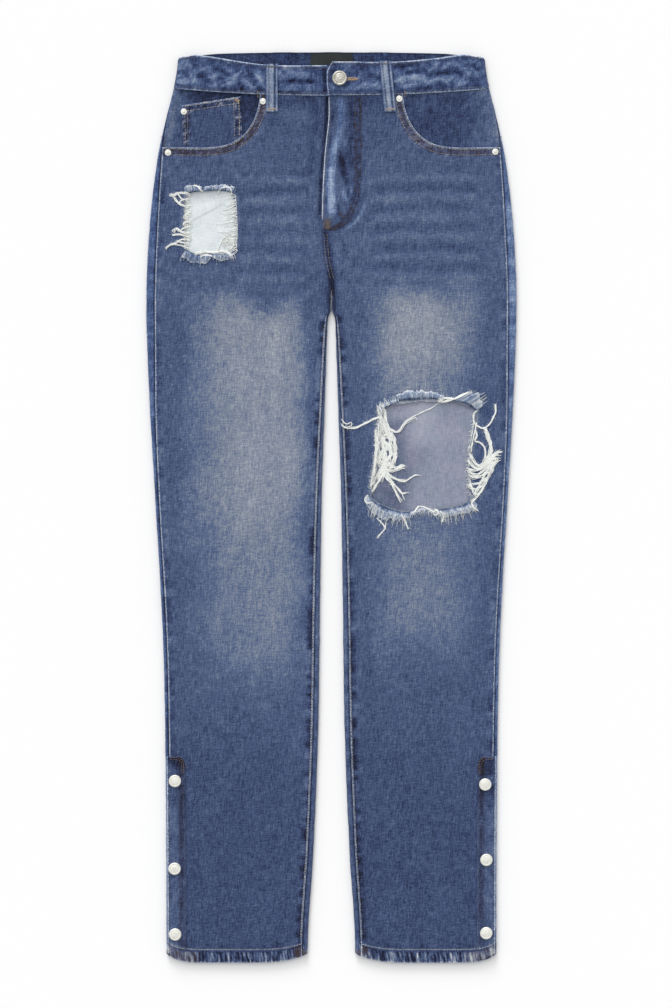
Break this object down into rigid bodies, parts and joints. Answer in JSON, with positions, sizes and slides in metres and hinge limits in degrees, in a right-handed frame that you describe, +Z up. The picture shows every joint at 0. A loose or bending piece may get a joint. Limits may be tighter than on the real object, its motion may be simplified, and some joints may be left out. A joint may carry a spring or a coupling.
{
  "type": "ripped jeans",
  "caption": "Straight-leg denim jeans laid flat on their back, with a rip at the knee and hip, frayed edges and snapped side vents at the hems.",
  "frame": {"origin": "centre of the garment's bounding box, on the surface that it lies on", "axes": "+X towards the wearer's left leg, +Y from the hems to the waist, +Z up from the surface"},
  "size_m": [0.4232, 1.04, 0.0166],
  "materials": {
    "denim": "medium blue twill, faded and worn",
    "cotton": "plain white weave",
    "label": "matt black woven",
    "silver": "satin nickel plate"
  },
  "bodies": {
    "root": {"front_left": "denim", "front_right": "denim", "back_left": "denim", "back_right": "denim", "yoke_left": "denim", "yoke_right": "denim", "back_pocket_left": "denim", "back_pocket_right": "denim", "pocket_facing_left": "denim", "pocket_facing_right": "denim", "coin_pocket": "denim", "pocket_bag_right": "cotton", "zip_tape": "cotton", "waistband": "denim", "waist_label": "label", "loop_front_left": "denim", "loop_front_right": "denim", "loop_back_left": "denim", "loop_back_centre": "denim", "loop_back_right": "denim", "vent_placket_left": "denim", "vent_placket_right": "denim", "vent_underlap_left": "denim", "vent_underlap_right": "denim", "snap_left_1": "silver", "snap_left_2": "silver", "snap_left_3": "silver", "snap_right_1": "silver", "snap_right_2": "silver", "snap_right_3": "silver", "waist_button": "silver", "rivet_left_top": "silver", "rivet_left_side": "silver", "rivet_right_top": "silver", "rivet_right_side": "silver", "rivet_coin": "silver"}
  },
  "joints": []
}
